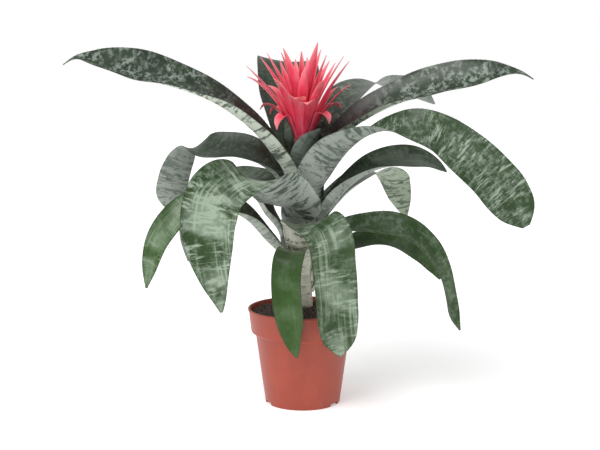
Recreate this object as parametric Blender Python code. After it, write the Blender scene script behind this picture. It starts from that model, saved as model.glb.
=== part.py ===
"""Potted bromeliad: a rosette of arching strap leaves and a pink flower head, in a nursery pot.

Run with: blender --background --python part.py
The axis of the pot is Z, the floor is z = 0 and the plant's best side faces -Y.
Leaf stations are in millimetres; everything else is in metres.
"""
import math

import bmesh
import bpy
import numpy as np

MM = 0.001

# Pot: thin injection-moulded plastic with a collar, a foot ring and three drain notches.
RIM_RADIUS = 60 * MM
POT_HEIGHT = 105 * MM
BASE_RADIUS = 41.2 * MM
POT_WALL = 1.4 * MM
COLLAR_HEIGHT = 25.5 * MM
COLLAR_TAPER = 2.6 * MM
COLLAR_STEP = 5.0 * MM
COLLAR_CHAMFER = 4.0 * MM
LIP_OVERHANG = 0.9 * MM
LIP_HEIGHT = 3.0 * MM
FOOT_HEIGHT = 3.2 * MM
FOOT_WIDTH = 2.2 * MM
NOTCH_WIDTH = 14 * MM
NOTCH_AZIMUTHS = (-156, -33, 86)
DRAIN_LENGTH = 12 * MM
DRAIN_WIDTH = 7 * MM
DRAIN_INSET = 9 * MM
POT_SIDES = 48

# Potting mix: fills the pot to below the rim and rises to a low mound at the neck.
SOIL_BELOW_RIM = 6 * MM
MOUND_RISE = 8.5 * MM
SOIL_SIDES = 40

# Stock of the rosette and the flower stalk that grows out of it, as one stem. Each leaf clasps
# the stock one pitch above the one before, so the stock and the stalk grow with the pitch.
LEAF_THICKNESS = 0.8 * MM
SHEATH_GAP = 5.7 * MM
SHEATH_PITCH = SHEATH_GAP + LEAF_THICKNESS
LEAF_COUNT = 18
STOCK_RADIUS = 11 * MM
STOCK_TOP_RADIUS = 6 * MM
STOCK_LENGTH = 8 * MM + LEAF_COUNT * SHEATH_PITCH
STOCK_DEPTH = 22 * MM
STALK_RADIUS = 4.2 * MM
HEAD_BASE = 55 * MM + LEAF_COUNT * SHEATH_PITCH
HEAD_AXIS_LENGTH = 36 * MM
HEAD_BASE_RADIUS = 6.5 * MM
HEAD_TOP_RADIUS = 2.5 * MM
STEM_SIDES = 16

# Leaves: each sheath clasps the stock a little higher than the one before it.
SHEATH_SLOPE = 0.32
SHEATH_CLEARANCE = 1.4 * MM
LEAF_SEGMENTS = 16
LEAF_STRIPS = 4
DRAWN_RIM_RADIUS = 60 * MM
DRAWN_SHEATH_PITCH = 6.5 * MM
DRAWN_SPREAD_START = 20 * MM

# Bracts of the flower head.
BRACT_THICKNESS = 0.6 * MM
BRACT_CLEARANCE = 0.8 * MM
BRACT_SEGMENTS = 6
BRACT_STRIPS = 2
BRACT_SHARE = 0.38
BRACT_TIP_WIDTH = 0.8

CLEARANCE = 0.3 * MM
CROWN = POT_HEIGHT - SOIL_BELOW_RIM + MOUND_RISE - 0.5 * MM

# name, azimuth, sheath height, width at the stock, width at its mouth, lean, and then the blade's
# stations from the sheath to the tip: x, y, height above the crown, width, cupping angle, roll.
LEAVES = [
    ("leaf_front_low", -103, 36, 28, 30, 6, [
        (-6, -34, 52, 30, 80, 0), (-8, -44, 66, 32, 65, 0), (-11, -54, 69, 33, 52, 0),
        (-14, -62, 63, 34, 46, 0), (-16, -67, 49, 34, 42, 0), (-16, -70, 29, 34, 40, 0),
        (-14, -71, 5, 32, 40, 0), (-11, -70, -18, 23, 40, 0), (-8, -69, -33, 12, 40, 0),
        (-6, -69, -41, 2, 40, 0)]),
    ("leaf_left_low", 196, 34, 30, 32, 2, [
        (-23, -18, 57, 28, 120, 2), (-41, -25, 79, 40, 132, 2), (-60, -33, 101, 42, 118, -4),
        (-80, -39, 114, 42, 92, -14), (-101, -45, 120, 38, 62, -24), (-121, -48, 114, 34, 50, -32),
        (-137, -51, 101, 31, 45, -42), (-149, -53, 84, 28, 45, -50), (-158, -54, 59, 21, 50, -50),
        (-164, -54, 30, 2, 50, -50)]),
    ("leaf_right_low_back", 20, 34, 28, 28, 3, [
        (26, 10, 50, 28, 80, 5), (48, 16, 62, 31, 60, 15), (77, 20, 71, 32, 50, 25),
        (106, 22, 68, 31, 40, 35), (132, 23, 56, 30, 35, 50), (149, 24, 40, 26, 35, 60),
        (156, 24, 26, 10, 35, 60)]),
    ("leaf_right_low", -12, 38, 28, 28, 0, [
        (23, -14, 75, 27, 85, 5), (45, -15, 87, 34, 70, 12), (70, -19, 92, 35, 60, 22),
        (95, -21, 92, 35, 50, 28), (118, -23, 84, 33, 45, 32), (136, -24, 69, 29, 45, 32),
        (150, -25, 44, 24, 50, 30), (158, -25, 15, 21, 60, 30), (164, -25, -9, 15, 60, 30),
        (170, -25, -22, 2, 60, 30)]),
    ("leaf_front", -80, 48, 30, 34, 0, [
        (-3, -36, 70, 35, 95, 0), (-2, -39, 83, 44, 70, 10), (1, -48, 94, 52, 46, 28),
        (8, -60, 99, 54, 34, 50), (16, -72, 100, 54, 26, 60), (23, -80, 95, 52, 22, 64),
        (28, -83, 83, 51, 22, 64), (31, -84, 60, 49, 24, 62), (34, -85, 24, 48, 24, 62),
        (36, -85, -5, 44, 26, 62), (38, -84, -23, 31, 26, 62), (39, -84, -36, 3, 26, 62)]),
    ("leaf_left_back_low", 170, 42, 22, 20, 0, [
        (-26, 3, 82, 22, 110, 8), (-40, 8, 100, 32, 130, 3), (-53, 15, 119, 38, 115, -4),
        (-74, 17, 130, 40, 85, -12), (-95, 18, 133, 40, 65, -22), (-111, 18, 120, 36, 48, -30),
        (-117, 18, 87, 28, 45, -30), (-115, 18, 45, 3, 45, -30)]),
    ("leaf_back_left", 118, 46, 20, 22, 0, [
        (-15, 36, 104, 24, 90, 0), (-38, 66, 129, 38, 70, 0), (-84, 96, 133, 48, 55, 0),
        (-114, 120, 121, 46, 50, 0), (-130, 136, 90, 42, 45, 0), (-137, 142, 54, 31, 45, 0),
        (-139, 144, 24, 3, 45, 0)]),
    ("leaf_back_right_low", 42, 44, 26, 30, 0, [
        (27, 28, 101, 38, 100, 0), (48, 52, 121, 46, 75, 0), (74, 80, 135, 50, 55, 0),
        (97, 106, 135, 47, 50, 0), (108, 130, 123, 45, 45, 8), (117, 134, 100, 31, 45, 10),
        (125, 136, 78, 3, 45, 10)]),
    ("leaf_front_left", -118, 46, 28, 36, 0, [
        (-4, -33, 109, 50, 100, 18), (-14, -44, 121, 58, 78, 38), (-27, -56, 132, 60, 58, 40),
        (-41, -70, 142, 59, 48, 18), (-56, -87, 149, 59, 42, -14), (-73, -102, 146, 59, 36, -34),
        (-87, -112, 134, 58, 34, -44), (-93, -118, 112, 56, 30, -46), (-92, -120, 82, 47, 30, -46),
        (-88, -119, 53, 30, 30, -46), (-83, -118, 31, 14, 30, -46), (-81, -117, 18, 3, 30, -46)]),
    ("leaf_right_mid", -2, 36, 24, 30, 0, [
        (29, -4, 105, 44, 130, -4), (44, 0, 124, 48, 125, 0), (61, 5, 140, 48, 100, 12),
        (82, 11, 153, 49, 72, 28), (109, 19, 159, 47, 54, 38), (134, 26, 157, 38, 50, 44),
        (149, 31, 151, 24, 50, 48), (156, 33, 147, 11, 50, 50), (160, 34, 144, 3, 50, 50)]),
    ("leaf_right", -52, 36, 26, 32, 0, [
        (11, -23, 123, 48, 120, 0), (19, -31, 145, 56, 106, -4), (35, -39, 168, 60, 96, 2),
        (57, -50, 185, 58, 88, 14), (87, -60, 197, 54, 72, 38), (116, -66, 198, 50, 50, 64),
        (142, -68, 189, 50, 41, 78), (165, -74, 173, 51, 36, 86), (188, -79, 152, 52, 32, 90),
        (207, -83, 130, 50, 32, 92), (220, -85, 111, 34, 32, 92), (226, -86, 100, 9, 32, 92)]),
    ("leaf_left", 168, 42, 30, 34, 0, [
        (-27, 9, 138, 36, 110, -6), (-43, 15, 156, 46, 88, -22), (-63, 22, 167, 50, 68, -36),
        (-89, 32, 170, 49, 52, -42), (-112, 42, 171, 42, 42, -36), (-126, 50, 168, 32, 56, -5),
        (-136, 56, 155, 34, 50, 25), (-146, 60, 132, 36, 45, 38), (-150, 62, 110, 30, 45, 38),
        (-150, 62, 98, 8, 45, 38)]),
    ("leaf_back_right", 34, 38, 26, 26, 0, [
        (22, 16, 163, 34, 100, 0), (36, 28, 193, 50, 86, 4), (51, 50, 222, 60, 68, 10),
        (73, 84, 239, 65, 54, 14), (103, 122, 239, 58, 50, 12), (131, 151, 229, 38, 55, 6),
        (151, 171, 220, 18, 60, 0), (162, 178, 214, 3, 60, 0)]),
    ("leaf_upper_left", 192, 30, 30, 36, 0, [
        (-18, -10, 143, 46, 130, 0), (-35, -17, 172, 54, 130, -2), (-61, -22, 201, 57, 118, -8),
        (-97, -25, 227, 57, 100, -18), (-141, -28, 247, 55, 80, -32), (-183, -31, 261, 45, 64, -44),
        (-215, -34, 267, 26, 62, -42), (-235, -36, 269, 8, 60, -25), (-248, -37, 262, 2, 60, -10)]),
    ("leaf_upper_right", -4, 28, 32, 38, 0, [
        (15, -7, 153, 40, 140, 0), (36, -9, 180, 49, 132, 6), (63, -14, 204, 54, 112, 13),
        (98, -19, 224, 56, 98, 18), (138, -23, 240, 51, 76, 32), (175, -27, 251, 38, 62, 42),
        (207, -30, 255, 21, 60, 40), (228, -32, 253, 8, 60, 20), (240, -33, 247, 2, 60, 10)]),
    ("leaf_back", 99, 28, 22, 23, 0, [
        (-6, 35, 143, 24, 100, 0), (-11, 54, 181, 50, 75, 0), (-15, 80, 217, 68, 54, 0),
        (-17, 110, 248, 74, 40, 0), (-19, 144, 265, 70, 34, 0), (-22, 184, 255, 57, 36, 0),
        (-24, 214, 219, 38, 40, 0), (-25, 236, 175, 3, 40, 0)]),
    ("leaf_inner_front", -66, 18, 28, 30, 0, [
        (1, -17, 153, 32, 120, 0), (3, -19, 168, 33, 105, 6), (9, -19, 181, 26, 90, 12),
        (16, -17, 191, 9, 60, 15), (19, -16, 195, 2, 60, 15)]),
    ("leaf_inner_left", -170, 12, 16, 15, 0, [
        (-12, -5, 158, 16, 80, -20), (-15, -9, 175, 14, 64, -60), (-17, -12, 191, 12, 50, -80),
        (-19, -13, 207, 2, 40, -80)]),
]

# azimuth, height of the base on the head, reach of the tip, its height, width, droop (all mm)
BRACTS = [
    (-108, 5, 35, 61, 18, 9), (-74, 3, 33, 55, 16, 10), (-150, 4, 34, 28, 12, 18),
    (-33, 4, 34, 34, 13, 16), (-177, 5, 46, 48, 10, 13), (60, 3, 42, 42, 13, 14),
    (112, 4, 40, 44, 13, 14), (152, 2, 39, 42, 12, 15), (16, 5, 44, 48, 11, 13),
    (-172, 12, 60, 89, 11, 0), (166, 11, 60, 80, 8, 4), (-4, 9, 52, 71, 9, 3),
    (-18, 12, 52, 94, 10, 0), (34, 9, 50, 68, 10, 4), (85, 10, 50, 72, 11, 3),
    (134, 9, 50, 70, 10, 4), (-134, 12, 44, 78, 11, 3), (-54, 12, 42, 76, 11, 3),
    (158, 17, 47, 98, 10, 0), (-160, 18, 39, 102, 10, 0), (4, 17, 44, 99, 9, 0),
    (28, 18, 42, 92, 9, 0), (52, 17, 41, 94, 9, 0), (76, 18, 40, 98, 9, 0),
    (104, 18, 40, 96, 9, 0), (130, 17, 42, 95, 9, 0), (-92, 17, 30, 88, 10, 0),
    (-122, 25, 32, 107, 10, 0), (-58, 26, 27, 113, 11, 0), (94, 27, 13, 104, 8, 0),
    (-24, 25, 29, 100, 8, 0), (150, 25, 25, 103, 8, 0), (40, 26, 24, 106, 8, 0),
]


def clear_scene():
    for item in list(bpy.data.objects):
        bpy.data.objects.remove(item, do_unlink=True)


def finish_material(name, color, roughness):
    material = bpy.data.materials.new(name)
    material.use_nodes = True
    shader = material.node_tree.nodes["Principled BSDF"]
    shader.inputs["Base Color"].default_value = (*color, 1.0)
    shader.inputs["Roughness"].default_value = roughness
    return material


def add_object(name, mesh, material):
    item = bpy.data.objects.new(name, mesh)
    bpy.context.scene.collection.objects.link(item)
    mesh.materials.append(material)
    return item


def turned(name, profile, sides, material):
    """A solid of revolution from (radius, height) points that start and end on the axis."""
    shape = bmesh.new()
    rings = []
    for radius, height in profile:
        if radius == 0:
            rings.append([shape.verts.new((0, 0, height))])
            continue
        angles = [2 * math.pi * side / sides for side in range(sides)]
        rings.append([shape.verts.new((radius * math.cos(angle), radius * math.sin(angle), height))
                      for angle in angles])
    for lower, upper in zip(rings, rings[1:]):
        for side in range(sides):
            after = (side + 1) % sides
            if len(lower) == 1:
                shape.faces.new((lower[0], upper[after], upper[side]))
            elif len(upper) == 1:
                shape.faces.new((lower[side], lower[after], upper[0]))
            else:
                shape.faces.new((lower[side], lower[after], upper[after], upper[side]))
    bmesh.ops.recalc_face_normals(shape, faces=shape.faces)
    mesh = bpy.data.meshes.new(name)
    shape.to_mesh(mesh)
    shape.free()
    return add_object(name, mesh, material)


def cutter_box(name, azimuth, near, far, width, bottom, top):
    """A box that lies along a radius of the pot, used only to cut."""
    bpy.ops.mesh.primitive_cube_add(size=1)
    cutter = bpy.context.object
    cutter.name = name
    angle = math.radians(azimuth)
    middle = (near + far) / 2
    cutter.location = (middle * math.cos(angle), middle * math.sin(angle), (bottom + top) / 2)
    cutter.rotation_euler = (0, 0, angle)
    cutter.scale = (far - near, width, top - bottom)
    cutter.hide_render = True
    cutter.display_type = "WIRE"
    return cutter


def cut(target, cutter):
    boolean = target.modifiers.new(cutter.name, "BOOLEAN")
    boolean.operation = "DIFFERENCE"
    boolean.solver = "EXACT"
    boolean.object = cutter


def collar_sizes():
    """Radii and heights that the pot and the potting mix inside it share."""
    collar_bottom = POT_HEIGHT - COLLAR_HEIGHT
    collar_top_radius = RIM_RADIUS - LIP_OVERHANG
    collar_bottom_radius = collar_top_radius - COLLAR_TAPER
    neck_radius = collar_bottom_radius - COLLAR_STEP
    return collar_bottom, collar_top_radius, collar_bottom_radius, neck_radius


def make_pot():
    plastic = finish_material("terracotta_plastic", (0.46, 0.10, 0.065), 0.38)
    collar_bottom, collar_top_radius, collar_bottom_radius, neck_radius = collar_sizes()
    floor_top = FOOT_HEIGHT + POT_WALL
    edge = 0.6 * MM
    profile = [
        (0, FOOT_HEIGHT),
        (BASE_RADIUS - FOOT_WIDTH, FOOT_HEIGHT),
        (BASE_RADIUS - FOOT_WIDTH, 0),
        (BASE_RADIUS - edge, 0),
        (BASE_RADIUS, edge),
        (neck_radius, collar_bottom - COLLAR_CHAMFER),
        (collar_bottom_radius, collar_bottom),
        (collar_top_radius, POT_HEIGHT - LIP_HEIGHT),
        (RIM_RADIUS, POT_HEIGHT - LIP_HEIGHT + edge),
        (RIM_RADIUS, POT_HEIGHT - edge),
        (RIM_RADIUS - edge, POT_HEIGHT),
        (collar_top_radius - POT_WALL + edge, POT_HEIGHT),
        (collar_top_radius - POT_WALL, POT_HEIGHT - edge),
        (collar_bottom_radius - POT_WALL, collar_bottom),
        (neck_radius - POT_WALL, collar_bottom - COLLAR_CHAMFER),
        (BASE_RADIUS - POT_WALL, floor_top),
        (0, floor_top),
    ]
    pot = turned("pot", profile, POT_SIDES, plastic)
    for number, azimuth in enumerate(NOTCH_AZIMUTHS):
        notch = cutter_box(f"cut_notch_{number}", azimuth, BASE_RADIUS - 3 * FOOT_WIDTH,
                           BASE_RADIUS + 2 * FOOT_WIDTH, NOTCH_WIDTH, -FOOT_HEIGHT,
                           FOOT_HEIGHT - 0.1 * MM)
        drain_end = BASE_RADIUS - DRAIN_INSET
        drain = cutter_box(f"cut_drain_{number}", azimuth, drain_end - DRAIN_LENGTH, drain_end,
                           DRAIN_WIDTH, FOOT_HEIGHT - POT_WALL, floor_top + POT_WALL)
        cut(pot, notch)
        cut(pot, drain)
    return pot


def make_soil():
    peat = finish_material("peat", (0.055, 0.028, 0.02), 0.95)
    collar_bottom, collar_top_radius, collar_bottom_radius, neck_radius = collar_sizes()
    gap = CLEARANCE
    inner = POT_WALL + gap
    edge_height = POT_HEIGHT - SOIL_BELOW_RIM
    collar_rise = (edge_height - collar_bottom) / (POT_HEIGHT - collar_bottom)
    edge_radius = collar_bottom_radius - inner + COLLAR_TAPER * collar_rise
    pocket = STOCK_RADIUS + gap
    mound = [(edge_radius * share + pocket * (1 - share), edge_height + MOUND_RISE * rise)
             for share, rise in ((0.93, 0.12), (0.72, 0.30), (0.48, 0.58), (0.24, 0.86), (0.0, 0.92))]
    floor_top = FOOT_HEIGHT + POT_WALL + gap
    profile = [
        (0, floor_top),
        (BASE_RADIUS - inner, floor_top),
        (neck_radius - inner, collar_bottom - COLLAR_CHAMFER),
        (collar_bottom_radius - inner, collar_bottom + gap),
        (edge_radius, edge_height),
        *mound,
        (pocket, CROWN - STOCK_DEPTH - gap),
        (0, CROWN - STOCK_DEPTH - gap),
    ]
    return turned("soil", profile, SOIL_SIDES, peat)


def make_stem():
    green = finish_material("stem_tissue", (0.30, 0.32, 0.20), 0.6)
    head = CROWN + HEAD_BASE
    profile = [
        (0, CROWN - STOCK_DEPTH),
        (STOCK_RADIUS * 0.8, CROWN - STOCK_DEPTH),
        (STOCK_RADIUS, CROWN - STOCK_DEPTH + 5 * MM),
        (STOCK_RADIUS, CROWN),
        (STOCK_TOP_RADIUS, CROWN + STOCK_LENGTH),
        (STALK_RADIUS, CROWN + STOCK_LENGTH + 12 * MM),
        (STALK_RADIUS, head - 10 * MM),
        (HEAD_BASE_RADIUS, head),
        (HEAD_TOP_RADIUS, head + HEAD_AXIS_LENGTH),
        (0, head + HEAD_AXIS_LENGTH + HEAD_TOP_RADIUS),
    ]
    return turned("stem", profile, STEM_SIDES, green)


def smooth_rows(rows, places):
    """Rows of values read off a smooth curve through the stations, at shares of its length."""
    rows = np.array(rows, float)
    runs = np.linalg.norm(np.diff(rows[:, :3], axis=0), axis=1)
    reach = np.concatenate(([0], np.cumsum(runs)))
    steps = np.diff(rows, axis=0) / runs[:, None]
    before, after = runs[:-1, None], runs[1:, None]
    slopes = np.empty_like(rows)
    slopes[1:-1] = (steps[:-1] * after + steps[1:] * before) / (before + after)
    slopes[0] = 1.5 * steps[0] - 0.5 * slopes[1]
    slopes[-1] = 1.5 * steps[-1] - 0.5 * slopes[-2]
    wanted = np.asarray(places) * reach[-1]
    index = np.clip(np.searchsorted(reach, wanted, side="right") - 1, 0, len(runs) - 1)
    run = runs[index][:, None]
    t = (wanted - reach[index])[:, None] / run
    return ((2 * t ** 3 - 3 * t ** 2 + 1) * rows[index] + (t ** 3 - 2 * t ** 2 + t) * run * slopes[index]
            + (3 * t ** 2 - 2 * t ** 3) * rows[index + 1] + (t ** 3 - t ** 2) * run * slopes[index + 1])


def even_places(rows, segments):
    """Shares of the length that crowd a little where the strap bends."""
    fine = np.linspace(0, 1, 121)
    points = smooth_rows(rows, fine)[:, :3]
    run = np.diff(points, axis=0)
    length = np.linalg.norm(run, axis=1)
    heading = run / length[:, None]
    turn = np.arccos(np.clip(np.sum(heading[1:] * heading[:-1], axis=1), -1, 1))
    turn = np.concatenate(([0], turn)) + 1e-4
    cost = np.concatenate(([0], np.cumsum(length / length.sum() + 0.8 * turn / turn.sum())))
    return np.interp(np.linspace(0, cost[-1], segments + 1), cost, fine)


def strap_grid(rows, azimuth, segments, strips):
    """Points of a cupped strap along its stations; the upper face is the one that N points to."""
    read = smooth_rows(rows, even_places(rows, segments))
    centre = read[:, :3] * MM
    along = np.gradient(centre, axis=0)
    along /= np.linalg.norm(along, axis=1)[:, None]
    angle = math.radians(azimuth)
    side = np.array((-math.sin(angle), math.cos(angle), 0.0))
    across = np.linspace(-1, 1, strips + 1)
    grid = []
    for point, heading, (width, cup, roll) in zip(centre, along, read[:, 3:]):
        side = side - side.dot(heading) * heading
        side /= np.linalg.norm(side)
        up = np.cross(heading, side)
        turn = math.radians(roll)
        rolled_side = math.cos(turn) * side + math.sin(turn) * up
        rolled_up = np.cross(heading, rolled_side)
        half_cup = math.radians(max(cup, 2)) / 2
        radius = max(width, 1) * MM / 2 / half_cup
        out = radius * np.sin(across * half_cup)
        lift = radius * (1 - np.cos(across * half_cup))
        grid.append(point + out[:, None] * rolled_side + lift[:, None] * rolled_up)
    return np.array(grid)


def strap(name, grid, thickness, material):
    """A strap-shaped solid: a sheet of quads with a Solidify modifier for its thickness."""
    rows, columns = grid.shape[:2]
    faces = []
    for row in range(rows - 1):
        for column in range(columns - 1):
            corner = row * columns + column
            faces.append((corner, corner + columns, corner + columns + 1, corner + 1))
    mesh = bpy.data.meshes.new(name)
    mesh.from_pydata(grid.reshape(-1, 3).tolist(), [], faces)
    item = add_object(name, mesh, material)
    wall = item.modifiers.new("thickness", "SOLIDIFY")
    wall.thickness = thickness
    wall.offset = 0
    return item


def sheath_rows(number, azimuth, rise, stock_width, mouth_width, lean):
    """Three stations of a sheath that hugs the stock and opens like a funnel, in millimetres."""
    start = 2 + number * SHEATH_PITCH / MM
    taper = (STOCK_TOP_RADIUS - STOCK_RADIUS) / STOCK_LENGTH
    base_radius = (STOCK_RADIUS + SHEATH_CLEARANCE) / MM + taper * start
    angle = math.radians(azimuth)
    rows = []
    for share in (0, 0.5, 1):
        radius = base_radius + SHEATH_SLOPE * rise * share + lean * share ** 2
        width = stock_width + (mouth_width - stock_width) * share
        rows.append((radius * math.cos(angle), radius * math.sin(angle), start + rise * share,
                     width, math.degrees(width / radius), 0))
    return rows


def spread_past_rim(row, lift):
    """Moves a station outwards with the pot's rim and up with its sheath, so that blades stay clear."""
    x, y, height, *rest = row
    distance = math.hypot(x, y) * MM
    grown = (RIM_RADIUS - DRAWN_RIM_RADIUS) / MM
    share = min(max((distance - DRAWN_SPREAD_START) / (DRAWN_RIM_RADIUS - DRAWN_SPREAD_START), 0), 1)
    scale = 1 + grown * share * MM / max(distance, MM)
    return (x * scale, y * scale, height + lift + CROWN / MM, *rest)


def make_leaves():
    green = finish_material("leaf_tissue", (0.12, 0.20, 0.11), 0.5)
    for number, (name, azimuth, rise, stock_width, mouth_width, lean, blade) in enumerate(LEAVES):
        lift = number * (SHEATH_PITCH - DRAWN_SHEATH_PITCH) / MM
        rows = [spread_past_rim(row, 0)
                for row in sheath_rows(number, azimuth, rise, stock_width, mouth_width, lean)]
        rows += [spread_past_rim(row, lift) for row in blade]
        grid = strap_grid(rows, azimuth, LEAF_SEGMENTS, LEAF_STRIPS)
        strap(name, grid, LEAF_THICKNESS, green)


def bract_rows(azimuth, base, reach, height, width, droop):
    """Stations of one bract, on a cubic from the head's axis out to its tip."""
    share = base * MM / HEAD_AXIS_LENGTH
    radius = HEAD_BASE_RADIUS + (HEAD_TOP_RADIUS - HEAD_BASE_RADIUS) * share + BRACT_CLEARANCE
    start = np.array((radius / MM, base))
    tip = np.array((reach, height), float)
    span = tip - start
    out = start + np.array((0.22 * span[0], 0.42 * (span[1] + droop)))
    arch = tip + np.array((-0.30 * span[0], 1.6 * droop - 0.30 * (span[1] - droop)))
    angle = math.radians(azimuth)
    rows = []
    for t, swell in ((0, 0.6), (0.2, 0.9), (0.42, 1.0), (0.66, 0.78), (0.86, 0.40), (1, 0.05)):
        place = ((1 - t) ** 3 * start + 3 * (1 - t) ** 2 * t * out + 3 * (1 - t) * t ** 2 * arch
                 + t ** 3 * tip)
        width_here = max(min(width * swell, BRACT_SHARE * place[0]), BRACT_TIP_WIDTH)
        rows.append((place[0] * math.cos(angle), place[0] * math.sin(angle),
                     place[1] + (CROWN + HEAD_BASE) / MM, width_here, 70, 0))
    return rows


def make_bracts():
    pink = finish_material("bract_tissue", (0.80, 0.09, 0.15), 0.5)
    for number, (azimuth, base, reach, height, width, droop) in enumerate(BRACTS, start=1):
        rows = bract_rows(azimuth, base, reach, height, width, droop)
        grid = strap_grid(rows, azimuth, BRACT_SEGMENTS, BRACT_STRIPS)
        strap(f"bract_{number:02d}", grid, BRACT_THICKNESS, pink)


clear_scene()
make_pot()
make_soil()
make_stem()
make_leaves()
make_bracts()
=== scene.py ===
"""Potted bromeliad: a rosette of arching strap leaves and a pink flower head in a nursery pot."""
import math

import bpy
import numpy as np
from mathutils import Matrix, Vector, noise


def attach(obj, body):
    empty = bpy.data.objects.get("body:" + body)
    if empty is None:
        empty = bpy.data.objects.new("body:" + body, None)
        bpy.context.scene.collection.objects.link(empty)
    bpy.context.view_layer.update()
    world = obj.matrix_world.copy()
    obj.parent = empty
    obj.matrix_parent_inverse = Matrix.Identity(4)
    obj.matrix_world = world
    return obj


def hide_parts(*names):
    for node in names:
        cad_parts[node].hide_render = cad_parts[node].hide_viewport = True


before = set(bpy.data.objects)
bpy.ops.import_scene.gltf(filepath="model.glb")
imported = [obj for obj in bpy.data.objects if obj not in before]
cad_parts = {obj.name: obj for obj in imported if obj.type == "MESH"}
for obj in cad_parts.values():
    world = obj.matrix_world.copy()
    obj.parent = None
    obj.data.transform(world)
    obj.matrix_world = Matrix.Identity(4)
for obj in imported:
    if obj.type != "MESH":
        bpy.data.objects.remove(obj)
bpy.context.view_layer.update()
MM = 0.001


# ---------------------------------------------------------------- pot
# An injection-moulded nursery pot of terracotta-coloured plastic: a tapered wall with a collar
# and a lip, standing on a foot ring that three drain notches interrupt. Turned from its
# section with small mould radii, then notched and drained with cutters.
RIM_RADIUS = 60 * MM
POT_HEIGHT = 105 * MM
BASE_RADIUS = 41.2 * MM
POT_WALL = 1.4 * MM
COLLAR_HEIGHT = 25.5 * MM
COLLAR_TAPER = 2.6 * MM
COLLAR_STEP = 5.0 * MM
COLLAR_CHAMFER = 4.0 * MM
LIP_OVERHANG = 0.9 * MM
LIP_HEIGHT = 3.0 * MM
FOOT_HEIGHT = 3.2 * MM
FOOT_WIDTH = 2.2 * MM
NOTCH_WIDTH = 14 * MM
NOTCH_AZIMUTHS = (-156, -33, 86)
DRAIN_LENGTH = 12 * MM
DRAIN_WIDTH = 7 * MM
DRAIN_INSET = 9 * MM

COLLAR_BOTTOM = POT_HEIGHT - COLLAR_HEIGHT
COLLAR_TOP_RADIUS = RIM_RADIUS - LIP_OVERHANG
COLLAR_BOTTOM_RADIUS = COLLAR_TOP_RADIUS - COLLAR_TAPER
NECK_RADIUS = COLLAR_BOTTOM_RADIUS - COLLAR_STEP
FLOOR_TOP = FOOT_HEIGHT + POT_WALL


def linear(code):
    """A screen colour written as hex, as the linear values that a shader takes."""
    parts = [int(code[place:place + 2], 16) / 255 for place in (0, 2, 4)]
    return [part / 12.92 if part <= 0.04045 else ((part + 0.055) / 1.055) ** 2.4 for part in parts] + [1]


def add_node(tree, kind, inputs=(), **settings):
    """A new node whose inputs, by name or number, are set to values or joined to sockets."""
    made = tree.nodes.new(kind)
    for name, value in settings.items():
        setattr(made, name, value)
    for key, value in dict(inputs).items():
        if isinstance(value, bpy.types.NodeSocket):
            tree.links.new(value, made.inputs[key])
        else:
            made.inputs[key].default_value = value
    return made


def new_finish(name, roughness, **values):
    """A material with only its shader and output; returns it with its tree and shader."""
    material = bpy.data.materials.new(name)
    material.use_nodes = True
    tree = material.node_tree
    shader = tree.nodes["Principled BSDF"]
    shader.inputs["Roughness"].default_value = roughness
    for key, value in values.items():
        shader.inputs[key.replace("_", " ")].default_value = value
    return material, tree, shader


def stretched(tree, place, across, along, depth=1.0):
    """Coordinates divided by the size in metres of one patch of a pattern, across and along."""
    scale = (1 / across, 1 / along, 1 / depth)
    return add_node(tree, "ShaderNodeMapping", {"Vector": place, "Scale": scale}).outputs[0]


def cloud(tree, place, detail=3.0, roughness=0.6, distortion=0.0):
    """A soft random value from 0 to 1 at a place."""
    inputs = {"Vector": place, "Scale": 1.0, "Detail": detail, "Roughness": roughness,
              "Distortion": distortion}
    return add_node(tree, "ShaderNodeTexNoise", inputs).outputs[0]


def object_place(tree):
    return add_node(tree, "ShaderNodeTexCoord").outputs["Object"]


def solid_cloud(tree, sizes, *detail):
    """A soft random value in the object's own space, from the three sizes of one patch."""
    return cloud(tree, stretched(tree, object_place(tree), *sizes), *detail)


def edged(tree, value, low, high, start=0.0, end=1.0):
    """A smooth step from start to end as the value goes from low to high."""
    inputs = {0: value, 1: low, 2: high, 3: start, 4: end}
    return add_node(tree, "ShaderNodeMapRange", inputs, interpolation_type="SMOOTHSTEP").outputs[0]


def product(tree, value, *factors):
    for factor in factors:
        value = add_node(tree, "ShaderNodeMath", {0: value, 1: factor}, operation="MULTIPLY").outputs[0]
    return value


def blended(tree, share, first, second):
    """One colour laid over another by a share; each is a socket or a hex code."""
    first, second = (linear(part) if isinstance(part, str) else part for part in (first, second))
    inputs = {0: share, 6: first, 7: second}
    return add_node(tree, "ShaderNodeMix", inputs, data_type="RGBA").outputs[2]


def painted(tree, shader, colour, *coats):
    """Lays coats, each a share and a colour, over a colour and gives the result to the shader."""
    for share, coat in coats:
        colour = blended(tree, share, colour, coat)
    tree.links.new(colour, shader.inputs["Base Color"])


def relief(tree, shader, height, depth, strength=1.0):
    """Bumps of a depth in metres on the shader."""
    inputs = {"Height": height, "Distance": depth, "Strength": strength}
    bump = add_node(tree, "ShaderNodeBump", inputs)
    tree.links.new(bump.outputs[0], shader.inputs["Normal"])


def moulded_plastic():
    """Matt terracotta polypropylene: faint flow marks and a fine grain that breaks its gloss."""
    material, tree, shader = new_finish("moulded_terracotta_plastic", 0.45)
    flow = solid_cloud(tree, (0.030, 0.030, 0.050), 4.0)
    dust = edged(tree, solid_cloud(tree, (0.006, 0.006, 0.020), 5.0, 0.7), 0.56, 0.80, 0, 0.22)
    painted(tree, shader, "963C2A", (edged(tree, flow, 0.35, 0.68), "A24430"), (dust, "BE7563"))
    tree.links.new(edged(tree, flow, 0.30, 0.75, 0.36, 0.50), shader.inputs["Roughness"])
    relief(tree, shader, solid_cloud(tree, (0.0007, 0.0007, 0.0007), 2.0), 0.00003, 0.6)
    return material


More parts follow.
